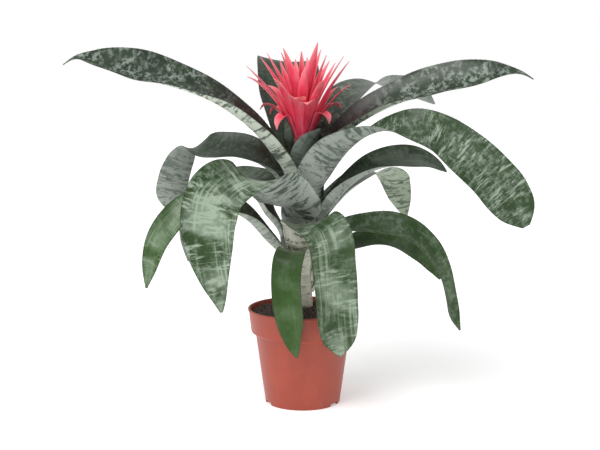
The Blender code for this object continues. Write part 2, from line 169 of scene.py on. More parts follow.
def rounded(corners, radius, steps=4):
    """A section with every inner corner rounded, from (radius, height) points."""
    points = [corners[0]]
    for before, corner, after in zip(corners, corners[1:], corners[2:]):
        back = Vector(before) - Vector(corner)
        ahead = Vector(after) - Vector(corner)
        reach = min(radius, back.length * 0.45, ahead.length * 0.45)
        start = Vector(corner) + back.normalized() * reach
        end = Vector(corner) + ahead.normalized() * reach
        for step in range(steps + 1):
            t = step / steps
            point = start * (1 - t) ** 2 + Vector(corner) * 2 * t * (1 - t) + end * t ** 2
            points.append((point.x, point.y))
    return points + [corners[-1]]


def plain_mesh(name, points, faces, *materials):
    """A new object at the origin from points and faces, shaded smooth."""
    mesh = bpy.data.meshes.new(name)
    mesh.from_pydata([tuple(point) for point in points], [], faces)
    mesh.validate()
    mesh.polygons.foreach_set("use_smooth", [True] * len(mesh.polygons))
    for material in materials:
        mesh.materials.append(material)
    item = bpy.data.objects.new(name, mesh)
    bpy.context.scene.collection.objects.link(item)
    return item


def turned(name, section, sides, material):
    """A solid of revolution from (radius, height) points that start and end on the axis."""
    points = [(0, 0, section[0][1])]
    for radius, height in section[1:-1]:
        for side in range(sides):
            angle = 2 * math.pi * side / sides
            points.append((radius * math.cos(angle), radius * math.sin(angle), height))
    points.append((0, 0, section[-1][1]))
    last = len(points) - 1
    faces = []
    for side in range(sides):
        after = (side + 1) % sides
        faces.append((0, 1 + after, 1 + side))
        for ring in range(len(section) - 3):
            low = 1 + ring * sides
            faces.append((low + side, low + after, low + sides + after, low + sides + side))
        top = 1 + (len(section) - 3) * sides
        faces.append((last, top + side, top + after))
    return plain_mesh(name, points, faces, material)


def cutter_box(azimuth, near, far, width, bottom, top):
    """A box that lies along a radius of the pot and is removed once it has cut."""
    angle = math.radians(azimuth)
    points = [(x * math.cos(angle) - y * math.sin(angle), x * math.sin(angle) + y * math.cos(angle), z)
              for z in (bottom, top) for x, y in ((near, -width / 2), (far, -width / 2),
                                                  (far, width / 2), (near, width / 2))]
    faces = [(3, 2, 1, 0), (4, 5, 6, 7), (0, 1, 5, 4), (1, 2, 6, 5), (2, 3, 7, 6), (3, 0, 4, 7)]
    return plain_mesh("cutter", points, faces)


def baked(item):
    """Turns the object's modifiers into a plain mesh and removes them."""
    bpy.context.view_layer.update()
    graph = bpy.context.evaluated_depsgraph_get()
    mesh = bpy.data.meshes.new_from_object(item.evaluated_get(graph))
    item.modifiers.clear()
    old = item.data
    item.data = mesh
    bpy.data.meshes.remove(old)


def finish_piece(item, slot, *nodes):
    """Fixes a finished piece to the plant and, where it stands for CAD nodes, hides them."""
    if nodes:
        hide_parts(*nodes)
    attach(item, "root")


pot_section = rounded([
    (0, FOOT_HEIGHT),
    (BASE_RADIUS - FOOT_WIDTH, FOOT_HEIGHT),
    (BASE_RADIUS - FOOT_WIDTH, 0),
    (BASE_RADIUS, 0),
    (NECK_RADIUS, COLLAR_BOTTOM - COLLAR_CHAMFER),
    (COLLAR_BOTTOM_RADIUS, COLLAR_BOTTOM),
    (COLLAR_TOP_RADIUS, POT_HEIGHT - LIP_HEIGHT),
    (RIM_RADIUS, POT_HEIGHT - LIP_HEIGHT + 0.5 * MM),
    (RIM_RADIUS, POT_HEIGHT),
    (COLLAR_TOP_RADIUS - POT_WALL, POT_HEIGHT),
    (COLLAR_BOTTOM_RADIUS - POT_WALL, COLLAR_BOTTOM),
    (NECK_RADIUS - POT_WALL, COLLAR_BOTTOM - COLLAR_CHAMFER),
    (BASE_RADIUS - POT_WALL, FLOOR_TOP),
    (0, FLOOR_TOP),
], 0.6 * MM)
pot = turned("pot_moulding", pot_section, 144, moulded_plastic())
pot_cutters = []
for azimuth in NOTCH_AZIMUTHS:
    drain_end = BASE_RADIUS - DRAIN_INSET
    pot_cutters.append(cutter_box(azimuth, BASE_RADIUS - 3 * FOOT_WIDTH, BASE_RADIUS + 2 * FOOT_WIDTH,
                                  NOTCH_WIDTH, -FOOT_HEIGHT, FOOT_HEIGHT - 0.1 * MM))
    pot_cutters.append(cutter_box(azimuth, drain_end - DRAIN_LENGTH, drain_end, DRAIN_WIDTH,
                                  FOOT_HEIGHT - POT_WALL, FLOOR_TOP + POT_WALL))
for cutter in pot_cutters:
    notch = pot.modifiers.new("notch", "BOOLEAN")
    notch.operation = "DIFFERENCE"
    notch.solver = "EXACT"
    notch.object = cutter
baked(pot)
for cutter in pot_cutters:
    bpy.data.objects.remove(cutter)
pot.data.polygons.foreach_set("use_smooth", [True] * len(pot.data.polygons))
pot.data.set_sharp_from_angle(angle=math.radians(34))
finish_piece(pot, "pot_plastic", "pot")


# ---------------------------------------------------------------- potting mix
# Loose dark peat that fills the pot to just below the rim and rises to the neck of the plant.
# A turned body with an uneven surface, strewn with crumbs by a Geometry Nodes tree.
SOIL_BELOW_RIM = 6 * MM
MOUND_RISE = 8.5 * MM
STOCK_RADIUS = 11 * MM
STOCK_DEPTH = 22 * MM
BED_SIDES = 60
CROWN = POT_HEIGHT - SOIL_BELOW_RIM + MOUND_RISE - 0.5 * MM
SOIL_TOP = POT_HEIGHT - SOIL_BELOW_RIM


def peat():
    """Damp fibrous peat: near-black brown between crumbs, lighter dry bits on them."""
    material, tree, shader = new_finish("damp_peat", 0.92)
    clumps = solid_cloud(tree, (0.004, 0.004, 0.004), 4.0)
    fibre = solid_cloud(tree, (0.0009, 0.0009, 0.0009), 3.0)
    painted(tree, shader, "2F2625", (edged(tree, clumps, 0.35, 0.65), "5A4A44"),
            (edged(tree, fibre, 0.58, 0.74), "8E7164"))
    relief(tree, shader, fibre, 0.0004)
    return material


def new_geometry_tree(name, **kinds):
    """A Geometry Nodes group with a geometry input, the named inputs, a seed and a finish."""
    tree = bpy.data.node_groups.new(name, "GeometryNodeTree")
    for label, kind in {"Geometry": "Geometry", **kinds, "Seed": "Int", "Finish": "Material"}.items():
        tree.interface.new_socket(label, in_out="INPUT", socket_type="NodeSocket" + kind)
    tree.interface.new_socket("Geometry", in_out="OUTPUT", socket_type="NodeSocketGeometry")
    return tree, add_node(tree, "NodeGroupInput").outputs


def drawn_value(tree, given, low, high, kind="FLOAT"):
    """A random value or vector between two others, from the tree's seed."""
    low_input, high_input, output = (2, 3, 1) if kind == "FLOAT" else (0, 1, 0)
    inputs = {low_input: low, high_input: high, "Seed": given["Seed"]}
    return add_node(tree, "FunctionNodeRandomValue", inputs, data_type=kind).outputs[output]


def copies_out(tree, given, points, copy, turn, scale):
    """Sets a copy on every point, as plain mesh with the given finish, and puts it out."""
    placed = add_node(tree, "GeometryNodeInstanceOnPoints", {
        "Points": points, "Instance": copy.outputs[0], "Rotation": turn, "Scale": scale})
    solid = add_node(tree, "GeometryNodeRealizeInstances", {0: placed.outputs[0]})
    coated = add_node(tree, "GeometryNodeSetMaterial", {0: solid.outputs[0], "Material": given["Finish"]})
    add_node(tree, "NodeGroupOutput", {0: coated.outputs[0]})
    return tree


def run_tree(item, tree, **values):
    """Puts the tree on the object, sets its named inputs and keeps the mesh that it makes."""
    modifier = item.modifiers.new(tree.name, "NODES")
    modifier.node_group = tree
    for socket in tree.interface.items_tree:
        if socket.in_out == "INPUT" and socket.name in values:
            modifier[socket.identifier] = values[socket.name]
    baked(item)


def strewn_crumbs():
    """Crumbs of random size and turn over the faces they are given."""
    tree, given = new_geometry_tree("strewn_crumbs", Density="Float", Smallest="Float", Largest="Float")
    spots = add_node(tree, "GeometryNodeDistributePointsOnFaces", {
        "Mesh": given["Geometry"], "Density": given["Density"], "Seed": given["Seed"]})
    crumb = add_node(tree, "GeometryNodeMeshIcoSphere", {"Radius": 1.0, "Subdivisions": 1})
    turn = drawn_value(tree, given, (0, 0, 0), (6.28, 6.28, 6.28), "FLOAT_VECTOR")
    size = drawn_value(tree, given, given["Smallest"], given["Largest"])
    squash = drawn_value(tree, given, (0.6, 0.6, 0.5), (1.4, 1.2, 1.0), "FLOAT_VECTOR")
    scale = add_node(tree, "ShaderNodeVectorMath", {0: squash, "Scale": size}, operation="SCALE")
    return copies_out(tree, given, spots.outputs["Points"], crumb, turn, scale.outputs[0])


peat_finish = peat()
soil_gap = POT_WALL + 0.3 * MM
soil_edge = (COLLAR_BOTTOM_RADIUS - soil_gap
             + COLLAR_TAPER * (SOIL_TOP - COLLAR_BOTTOM) / (POT_HEIGHT - COLLAR_BOTTOM))
soil_pocket = STOCK_RADIUS + 0.3 * MM
mound_shape = [(share, np.interp(share, (0, 0.24, 0.48, 0.72, 0.93, 1), (0.92, 0.86, 0.58, 0.30, 0.12, 0)))
               for share in np.linspace(1, 0, 15)]
mound = [(soil_edge * share + soil_pocket * (1 - share), SOIL_TOP + MOUND_RISE * rise)
         for share, rise in mound_shape]
soil_section = [
    (0, FLOOR_TOP + 0.3 * MM),
    (BASE_RADIUS - soil_gap, FLOOR_TOP + 0.3 * MM),
    (NECK_RADIUS - soil_gap, COLLAR_BOTTOM - COLLAR_CHAMFER),
    (COLLAR_BOTTOM_RADIUS - soil_gap, COLLAR_BOTTOM + 0.3 * MM),
    *mound,
    (soil_pocket, CROWN - STOCK_DEPTH - 0.3 * MM),
    (0, CROWN - STOCK_DEPTH - 0.3 * MM),
]
soil = turned("potting_mix", soil_section, 120, peat_finish)
for corner in soil.data.vertices:
    if corner.co.z > SOIL_TOP - 0.1 * MM:
        lumps = noise.noise(corner.co * 90) * 1.3 + noise.noise(corner.co * 260) * 0.7
        corner.co.z += lumps * MM
soil.data.update()
finish_piece(soil, "potting_mix", "soil")

bed_rings = mound[1:-1]
bed_points = [(radius * math.cos(turn), radius * math.sin(turn), height + 0.2 * MM)
              for radius, height in bed_rings for turn in np.linspace(0, 2 * math.pi, BED_SIDES + 1)[:-1]]
bed_faces = [(low + side, low + (side + 1) % BED_SIDES, low + (side + 1) % BED_SIDES + BED_SIDES,
              low + side + BED_SIDES)
             for low in range(0, len(bed_points) - BED_SIDES, BED_SIDES) for side in range(BED_SIDES)]
crumbs = plain_mesh("peat_crumbs", bed_points, bed_faces, peat_finish)
run_tree(crumbs, strewn_crumbs(), Density=260000.0, Smallest=0.0006, Largest=0.0019, Seed=11,
         Finish=peat_finish)
finish_piece(crumbs, "potting_mix")


# ---------------------------------------------------------------- stock and flower stalk
# The short woody stock that the leaf sheaths wrap and the pale stalk that carries the flower
# head, grown as one and turned from its section.
STOCK_TOP_RADIUS = 6 * MM
STOCK_LENGTH = 125 * MM
STALK_RADIUS = 4.2 * MM
HEAD_BASE = 172 * MM
HEAD_AXIS_LENGTH = 36 * MM
HEAD_BASE_RADIUS = 6.5 * MM
HEAD_TOP_RADIUS = 2.5 * MM


def stalk_flesh():
    """Scurfy pale stem: cream at the neck, greener above, pink where the bracts join it."""
    material, tree, shader = new_finish("scurfy_stem", 0.62)
    height = add_node(tree, "ShaderNodeSeparateXYZ", {0: object_place(tree)}).outputs[2]
    scurf = solid_cloud(tree, (0.003, 0.003, 0.008), 4.0)
    specks = solid_cloud(tree, (0.0016, 0.0016, 0.0012), 2.0)
    painted(tree, shader, "CFC9B2", (edged(tree, height, 0.12, 0.22), "A3A789"),
            (edged(tree, height, 0.262, 0.285), "E3808A"),
            (edged(tree, scurf, 0.50, 0.70, 0, 0.5), "DDD9CC"),
            (edged(tree, specks, 0.62, 0.72, 0, 0.7), "5B4A3E"))
    relief(tree, shader, scurf, 0.0002)
    return material


head_foot = CROWN + HEAD_BASE
stem_section = rounded([
    (0, CROWN - STOCK_DEPTH),
    (STOCK_RADIUS * 0.8, CROWN - STOCK_DEPTH),
    (STOCK_RADIUS, CROWN - STOCK_DEPTH + 5 * MM),
    (STOCK_RADIUS, CROWN),
    (STOCK_TOP_RADIUS, CROWN + STOCK_LENGTH),
    (STALK_RADIUS, CROWN + STOCK_LENGTH + 12 * MM),
    (STALK_RADIUS, head_foot - 10 * MM),
    (HEAD_BASE_RADIUS, head_foot),
    (HEAD_TOP_RADIUS, head_foot + HEAD_AXIS_LENGTH),
    (0, head_foot + HEAD_AXIS_LENGTH + HEAD_TOP_RADIUS),
], 4 * MM, 6)
stem = turned("stock_and_stalk", stem_section, 40, stalk_flesh())
finish_piece(stem, "stem_tissue", "stem")


# ---------------------------------------------------------------- leaves
# Eighteen stiff strap leaves. Each clasps the stock with a pale sheath, opens into a channelled
# blade and arches over. Both faces are a fine grid laid on the same stations as the solids,
# with soft pleats, a midrib groove, wavy margins and edges that thin out.
SHEATH_PITCH = 6.5
SHEATH_SLOPE = 0.32
SHEATH_CLEARANCE = 1.4
LEAF_THICKNESS = 0.8 * MM
LEAF_EDGE = 0.3 * MM

# name, azimuth, sheath height, width at the stock, width at its mouth, lean, and then the blade's
# stations from the sheath to the tip: x, y, height above the crown, width, cupping angle, roll.
LEAVES = [
    ("leaf_front_low", -103, 36, 28, 30, 6, [
        (-6, -34, 52, 30, 80, 0), (-8, -44, 66, 32, 65, 0), (-11, -54, 69, 33, 52, 0),
        (-14, -62, 63, 34, 46, 0), (-16, -67, 49, 34, 42, 0), (-16, -70, 29, 34, 40, 0),
        (-14, -71, 5, 32, 40, 0), (-11, -70, -18, 23, 40, 0), (-8, -69, -33, 12, 40, 0),
        (-6, -69, -41, 2, 40, 0)]),
    ("leaf_left_low", 196, 34, 30, 32, 2, [
        (-23, -18, 57, 28, 120, 2), (-41, -25, 79, 40, 132, 2), (-60, -33, 101, 42, 118, -4),
        (-80, -39, 114, 42, 92, -14), (-101, -45, 120, 38, 62, -24), (-121, -48, 114, 34, 50, -32),
        (-137, -51, 101, 31, 45, -42), (-149, -53, 84, 28, 45, -50), (-158, -54, 59, 21, 50, -50),
        (-164, -54, 30, 2, 50, -50)]),
    ("leaf_right_low_back", 20, 34, 28, 28, 3, [
        (26, 10, 50, 28, 80, 5), (48, 16, 62, 31, 60, 15), (77, 20, 71, 32, 50, 25),
        (106, 22, 68, 31, 40, 35), (132, 23, 56, 30, 35, 50), (149, 24, 40, 26, 35, 60),
        (156, 24, 26, 10, 35, 60)]),
    ("leaf_right_low", -12, 38, 28, 28, 0, [
        (23, -14, 75, 27, 85, 5), (45, -15, 87, 34, 70, 12), (70, -19, 92, 35, 60, 22),
        (95, -21, 92, 35, 50, 28), (118, -23, 84, 33, 45, 32), (136, -24, 69, 29, 45, 32),
        (150, -25, 44, 24, 50, 30), (158, -25, 15, 21, 60, 30), (164, -25, -9, 15, 60, 30),
        (170, -25, -22, 2, 60, 30)]),
    ("leaf_front", -80, 48, 30, 34, 0, [
        (-3, -36, 70, 35, 95, 0), (-2, -39, 83, 44, 70, 10), (1, -48, 94, 52, 46, 28),
        (8, -60, 99, 54, 34, 50), (16, -72, 100, 54, 26, 60), (23, -80, 95, 52, 22, 64),
        (28, -83, 83, 51, 22, 64), (31, -84, 60, 49, 24, 62), (34, -85, 24, 48, 24, 62),
        (36, -85, -5, 44, 26, 62), (38, -84, -23, 31, 26, 62), (39, -84, -36, 3, 26, 62)]),
    ("leaf_left_back_low", 170, 42, 22, 20, 0, [
        (-26, 3, 82, 22, 110, 8), (-40, 8, 100, 32, 130, 3), (-53, 15, 119, 38, 115, -4),
        (-74, 17, 130, 40, 85, -12), (-95, 18, 133, 40, 65, -22), (-111, 18, 120, 36, 48, -30),
        (-117, 18, 87, 28, 45, -30), (-115, 18, 45, 3, 45, -30)]),
    ("leaf_back_left", 118, 46, 20, 22, 0, [
        (-15, 36, 104, 24, 90, 0), (-38, 66, 129, 38, 70, 0), (-84, 96, 133, 48, 55, 0),
        (-114, 120, 121, 46, 50, 0), (-130, 136, 90, 42, 45, 0), (-137, 142, 54, 31, 45, 0),
        (-139, 144, 24, 3, 45, 0)]),
    ("leaf_back_right_low", 42, 44, 26, 30, 0, [
        (27, 28, 101, 38, 100, 0), (48, 52, 121, 46, 75, 0), (74, 80, 135, 50, 55, 0),
        (97, 106, 135, 47, 50, 0), (108, 130, 123, 45, 45, 8), (117, 134, 100, 31, 45, 10),
        (125, 136, 78, 3, 45, 10)]),
    ("leaf_front_left", -118, 46, 28, 36, 0, [
        (-4, -33, 109, 50, 100, 18), (-14, -44, 121, 58, 78, 38), (-27, -56, 132, 60, 58, 40),
        (-41, -70, 142, 59, 48, 18), (-56, -87, 149, 59, 42, -14), (-73, -102, 146, 59, 36, -34),
        (-87, -112, 134, 58, 34, -44), (-93, -118, 112, 56, 30, -46), (-92, -120, 82, 47, 30, -46),
        (-88, -119, 53, 30, 30, -46), (-83, -118, 31, 14, 30, -46), (-81, -117, 18, 3, 30, -46)]),
    ("leaf_right_mid", -2, 36, 24, 30, 0, [
        (29, -4, 105, 44, 130, -4), (44, 0, 124, 48, 125, 0), (61, 5, 140, 48, 100, 12),
        (82, 11, 153, 49, 72, 28), (109, 19, 159, 47, 54, 38), (134, 26, 157, 38, 50, 44),
        (149, 31, 151, 24, 50, 48), (156, 33, 147, 11, 50, 50), (160, 34, 144, 3, 50, 50)]),
    ("leaf_right", -52, 36, 26, 32, 0, [
        (11, -23, 123, 48, 120, 0), (19, -31, 145, 56, 106, -4), (35, -39, 168, 60, 96, 2),
        (57, -50, 185, 58, 88, 14), (87, -60, 197, 54, 72, 38), (116, -66, 198, 50, 50, 64),
        (142, -68, 189, 50, 41, 78), (165, -74, 173, 51, 36, 86), (188, -79, 152, 52, 32, 90),
        (207, -83, 130, 50, 32, 92), (220, -85, 111, 34, 32, 92), (226, -86, 100, 9, 32, 92)]),
    ("leaf_left", 168, 42, 30, 34, 0, [
        (-27, 9, 138, 36, 110, -6), (-43, 15, 156, 46, 88, -22), (-63, 22, 167, 50, 68, -36),
        (-89, 32, 170, 49, 52, -42), (-112, 42, 171, 42, 42, -36), (-126, 50, 168, 32, 56, -5),
        (-136, 56, 155, 34, 50, 25), (-146, 60, 132, 36, 45, 38), (-150, 62, 110, 30, 45, 38),
        (-150, 62, 98, 8, 45, 38)]),
    ("leaf_back_right", 34, 38, 26, 26, 0, [
        (22, 16, 163, 34, 100, 0), (36, 28, 193, 50, 86, 4), (51, 50, 222, 60, 68, 10),
        (73, 84, 239, 65, 54, 14), (103, 122, 239, 58, 50, 12), (131, 151, 229, 38, 55, 6),
        (151, 171, 220, 18, 60, 0), (162, 178, 214, 3, 60, 0)]),
    ("leaf_upper_left", 192, 30, 30, 36, 0, [
        (-18, -10, 143, 46, 130, 0), (-35, -17, 172, 54, 130, -2), (-61, -22, 201, 57, 118, -8),
        (-97, -25, 227, 57, 100, -18), (-141, -28, 247, 55, 80, -32), (-183, -31, 261, 45, 64, -44),
        (-215, -34, 267, 26, 62, -42), (-235, -36, 269, 8, 60, -25), (-248, -37, 262, 2, 60, -10)]),
    ("leaf_upper_right", -4, 28, 32, 38, 0, [
        (15, -7, 153, 40, 140, 0), (36, -9, 180, 49, 132, 6), (63, -14, 204, 54, 112, 13),
        (98, -19, 224, 56, 98, 18), (138, -23, 240, 51, 76, 32), (175, -27, 251, 38, 62, 42),
        (207, -30, 255, 21, 60, 40), (228, -32, 253, 8, 60, 20), (240, -33, 247, 2, 60, 10)]),
    ("leaf_back", 99, 28, 22, 23, 0, [
        (-6, 35, 143, 24, 100, 0), (-11, 54, 181, 50, 75, 0), (-15, 80, 217, 68, 54, 0),
        (-17, 110, 248, 74, 40, 0), (-19, 144, 265, 70, 34, 0), (-22, 184, 255, 57, 36, 0),
        (-24, 214, 219, 38, 40, 0), (-25, 236, 175, 3, 40, 0)]),
    ("leaf_inner_front", -66, 18, 28, 30, 0, [
        (1, -17, 153, 32, 120, 0), (3, -19, 168, 33, 105, 6), (9, -19, 181, 26, 90, 12),
        (16, -17, 191, 9, 60, 15), (19, -16, 195, 2, 60, 15)]),
    ("leaf_inner_left", -170, 12, 16, 15, 0, [
        (-12, -5, 158, 16, 80, -20), (-15, -9, 175, 14, 64, -60), (-17, -12, 191, 12, 50, -80),
        (-19, -13, 207, 2, 40, -80)]),
]

# What each leaf's faces look like, from 0 to 1: grey mottling, pale cross bands, pale streaks
# along the blade (scurf, partly painted highlight, and the strength of the painted sheen along
# the middle), fresh green, purple brown near the base, and dark bands on the underside; then how
# far the cream of the sheath runs up, as a share of the length, and the painted shade over the
# underside as a whole (below 0 it is painted light: a brighter, mintier underside).
LEAF_LOOKS = {
    "leaf_front_low": (0.05, 0.0, 0.12, 1.00, 0.0, 0.3, 0.36, 0.0),
    "leaf_left_low": (0.15, 0.3, 0.38, 0.85, 0.8, 0.6, 0.20, 0.0),
    "leaf_right_low_back": (0.10, 0.0, 0.12, 1.00, 0.2, 0.3, 0.12, 0.0),
    "leaf_right_low": (0.25, 0.1, 0.15, 0.60, 0.1, 0.3, 0.12, 0.0),
    "leaf_front": (0.22, 0.65, 0.62, 0.60, 0.0, 0.8, 0.34, 0.0),
    "leaf_left_back_low": (0.10, 0.2, 0.30, 0.60, 1.0, 0.5, 0.15, 0.0),
    "leaf_back_left": (0.40, 0.3, 0.25, 0.55, 0.3, 0.7, 0.15, 0.0),
    "leaf_back_right_low": (0.50, 0.6, 0.30, 0.80, 0.1, 0.9, 0.12, -0.15),
    "leaf_front_left": (0.45, 0.9, 0.90, 0.55, 0.0, 1.0, 0.10, 0.0),
    "leaf_right_mid": (0.25, 0.0, 0.40, 0.25, 0.5, 0.5, 0.10, 0.0),
    "leaf_right": (0.42, 0.85, 0.10, 0.40, 0.1, 0.9, 0.08, 0.18),
    "leaf_left": (0.22, 0.2, 0.10, 0.20, 0.1, 0.7, 0.10, 0.30),
    "leaf_back_right": (0.55, 0.2, 0.10, 0.15, 0.3, 0.7, 0.08, 0.4),
    "leaf_upper_left": (0.95, 0.0, 0.05, 0.10, 1.0, 1.0, 0.06, -0.60),
    "leaf_upper_right": (0.95, 0.0, 0.05, 0.10, 1.0, 1.0, 0.06, -0.60),
    "leaf_back": (0.15, 0.1, 0.10, 0.10, 0.2, 0.7, 0.06, 0.7),
    "leaf_inner_front": (0.50, 0.3, 0.20, 0.15, 0.1, 0.7, 0.05, 0.75),
    "leaf_inner_left": (0.30, 0.1, 0.30, 0.10, 0.1, 0.6, 0.05, 0.7),
}


def attribute(tree, name):
    return add_node(tree, "ShaderNodeAttribute", attribute_name=name).outputs["Fac"]


def leaf_cloud(tree, across, along, *detail):
    """A soft random value on a blade, from the size in metres of one patch across and along it."""
    place = add_node(tree, "ShaderNodeUVMap", uv_map="blade").outputs[0]
    return cloud(tree, stretched(tree, place, across, along), *detail)


def leaf_upper_skin():
    """Waxy upper skin: dark green under a silver bloom that lies in patches, bands and streaks,
    the streaks partly painted highlight, and a painted sheen along the middle of the blade.
    """
    material, tree, shader = new_finish("leaf_upper_skin", 0.40, Specular_IOR_Level=0.35)
    mottle = edged(tree, leaf_cloud(tree, 0.0066, 0.0048, 5.0, 0.62), 0.43, 0.60)
    patch = edged(tree, leaf_cloud(tree, 0.018, 0.016, 2.0), 0.36, 0.60)
    band = edged(tree, leaf_cloud(tree, 0.024, 0.0042, 6.0, 0.68, 0.3), 0.50, 0.60)
    swathe = edged(tree, leaf_cloud(tree, 0.050, 0.020, 2.0), 0.42, 0.58)
    # pale streaks along the blade: scurf, partly painted highlight
    streak_and_sheen = edged(tree, leaf_cloud(tree, 0.0026, 0.085), 0.40, 0.70)
    length = edged(tree, leaf_cloud(tree, 0.024, 0.060, 2.0), 0.44, 0.60)
    # painted highlight: a broad soft sheen along the middle of the blade, mixed into the silver colour
    painted_sheen = edged(tree, leaf_cloud(tree, 0.060, 0.032, 1.0), 0.44, 0.60, 0, 0.75)
    dapple = edged(tree, leaf_cloud(tree, 0.012, 0.030, 4.0), 0.30, 0.70, 0, 0.30)
    vein = leaf_cloud(tree, 0.0009, 0.12, 3.0, 0.7)
    freshness, streaks_and_sheen = attribute(tree, "freshness"), attribute(tree, "streaks_and_sheen")
    silver = 0.0
    for share in (product(tree, mottle, patch, attribute(tree, "mottling")),
                  product(tree, band, swathe, attribute(tree, "banding")),
                  product(tree, streak_and_sheen, length, streaks_and_sheen),
                  product(tree, painted_sheen, attribute(tree, "sheen_middle"), streaks_and_sheen)):
        silver = add_node(tree, "ShaderNodeMath", {0: silver, 1: share}, operation="ADD").outputs[0]
    silver.node.use_clamp = True
    green = blended(tree, freshness, "202922", "274A05")
    painted(tree, shader, green, (dapple, blended(tree, freshness, "3C5838", "3D620B")),
            (edged(tree, vein, 0.40, 0.70, 0, 0.42), "151D14"),
            (product(tree, silver, 0.84), blended(tree, freshness, "8E968F", "A9BEA2")),
            (product(tree, attribute(tree, "purpling"), 0.88), "2F2527"),
            (attribute(tree, "paling"), blended(tree, band, "D6D5C0", "8D9A84")),
            (product(tree, attribute(tree, "rimming"), 0.7), "2C3A26"))
    tree.links.new(edged(tree, silver, 0.0, 1.0, 0.34, 0.55), shader.inputs["Roughness"])
    relief(tree, shader, vein, 0.00018, 0.8)
    return material


def leaf_under_skin():
    """Scurfy underside: pale mint grey bloom, rubbed through in dark wavy bands and flecks, under painted
    shade on some leaves and painted light on others.
    """
    material, tree, shader = new_finish("leaf_under_skin", 0.58, Specular_IOR_Level=0.35)
    wave = edged(tree, leaf_cloud(tree, 0.030, 0.0050, 7.0, 0.64, 0.5), 0.50, 0.555)
    swathe = edged(tree, leaf_cloud(tree, 0.036, 0.024, 2.0), 0.34, 0.52)
    fleck = edged(tree, leaf_cloud(tree, 0.0070, 0.0045, 4.0), 0.56, 0.64)
    tint = leaf_cloud(tree, 0.030, 0.050, 4.0)
    vein = leaf_cloud(tree, 0.0010, 0.10, 3.0, 0.7)
    painted_shading = attribute(tree, "painted_shading")
    cream = blended(tree, edged(tree, tint, 0.35, 0.65), "F0EEDE", "DEDFCE")
    painted(tree, shader, "9AA39B", (edged(tree, attribute(tree, "freshness"), 0.45, 1.0), "86A078"),
            (edged(tree, tint, 0.30, 0.70, 0, 0.5), "B6BBB2"), (attribute(tree, "paling"), cream),
            # painted shade: the whole underside darker as the value rises above 0; painted light: a brighter
            # mint below 0
            (painted_shading, "46534A"), (product(tree, painted_shading, -1.0), "E2EBD9"),
            (product(tree, wave, swathe, attribute(tree, "under_banding"), 0.88), "3A473C"),
            (product(tree, fleck, 0.70), "435442"), (edged(tree, vein, 0.45, 0.75, 0, 0.22), "868E84"),
            (product(tree, attribute(tree, "rimming"), 0.5), "5A6B50"))
    relief(tree, shader, vein, 0.00015, 0.7)
    return material


def leaf_margin_skin():
    """The horny margin of the blade: a dry dark line, browner where it is worn."""
    material, tree, shader = new_finish("leaf_margin", 0.55)
    worn = edged(tree, leaf_cloud(tree, 0.01, 0.006), 0.4, 0.65)
    painted(tree, shader, "34452B", (worn, "5E6B45"))
    return material


def smooth_rows(rows, places):
    """Rows of values read off a smooth curve through the stations, at shares of its length."""
    rows = np.array(rows, float)
    runs = np.linalg.norm(np.diff(rows[:, :3], axis=0), axis=1)
    reach = np.concatenate(([0], np.cumsum(runs)))
    steps = np.diff(rows, axis=0) / runs[:, None]
    before, after = runs[:-1, None], runs[1:, None]
    slopes = np.empty_like(rows)
    slopes[1:-1] = (steps[:-1] * after + steps[1:] * before) / (before + after)
    slopes[0] = 1.5 * steps[0] - 0.5 * slopes[1]
    slopes[-1] = 1.5 * steps[-1] - 0.5 * slopes[-2]
    wanted = np.asarray(places) * reach[-1]
    index = np.clip(np.searchsorted(reach, wanted, side="right") - 1, 0, len(runs) - 1)
    run = runs[index][:, None]
    t = (wanted - reach[index])[:, None] / run
    return ((2 * t ** 3 - 3 * t ** 2 + 1) * rows[index] + (t ** 3 - 2 * t ** 2 + t) * run * slopes[index]
            + (3 * t ** 2 - 2 * t ** 3) * rows[index + 1]
            + (t ** 3 - t ** 2) * run * slopes[index + 1])


def strap_grid(rows, azimuth, segments, across):
    """Points of a cupped strap along its stations, with the widths read there in metres."""
    read = smooth_rows(rows, np.linspace(0, 1, segments + 1))
    centre = read[:, :3] * MM
    along = np.gradient(centre, axis=0)
    along /= np.linalg.norm(along, axis=1)[:, None]
    angle = math.radians(azimuth)
    side = np.array((-math.sin(angle), math.cos(angle), 0.0))
    grid = []
    for point, heading, (width, cup, roll) in zip(centre, along, read[:, 3:]):
        side = side - side.dot(heading) * heading
        side /= np.linalg.norm(side)
        up = np.cross(heading, side)
        turn = math.radians(roll)
        rolled_side = math.cos(turn) * side + math.sin(turn) * up
        rolled_up = np.cross(heading, rolled_side)
        half_cup = math.radians(max(cup, 2)) / 2
        radius = max(width, 1) * MM / 2 / half_cup
        out = radius * np.sin(across * half_cup)
        lift = radius * (1 - np.cos(across * half_cup))
        grid.append(point + out[:, None] * rolled_side + lift[:, None] * rolled_up)
    reach = np.concatenate(([0], np.cumsum(np.linalg.norm(np.diff(centre, axis=0), axis=1))))
    return np.array(grid), reach, np.maximum(read[:, 3], 1) * MM


def facing(grid):
    """The direction in which each point of a grid faces, on its upper side."""
    along = np.gradient(grid, axis=0)
    across = np.gradient(grid, axis=1)
    normal = np.cross(along, across)
    return normal / np.maximum(np.linalg.norm(normal, axis=2), 1e-12)[:, :, None]


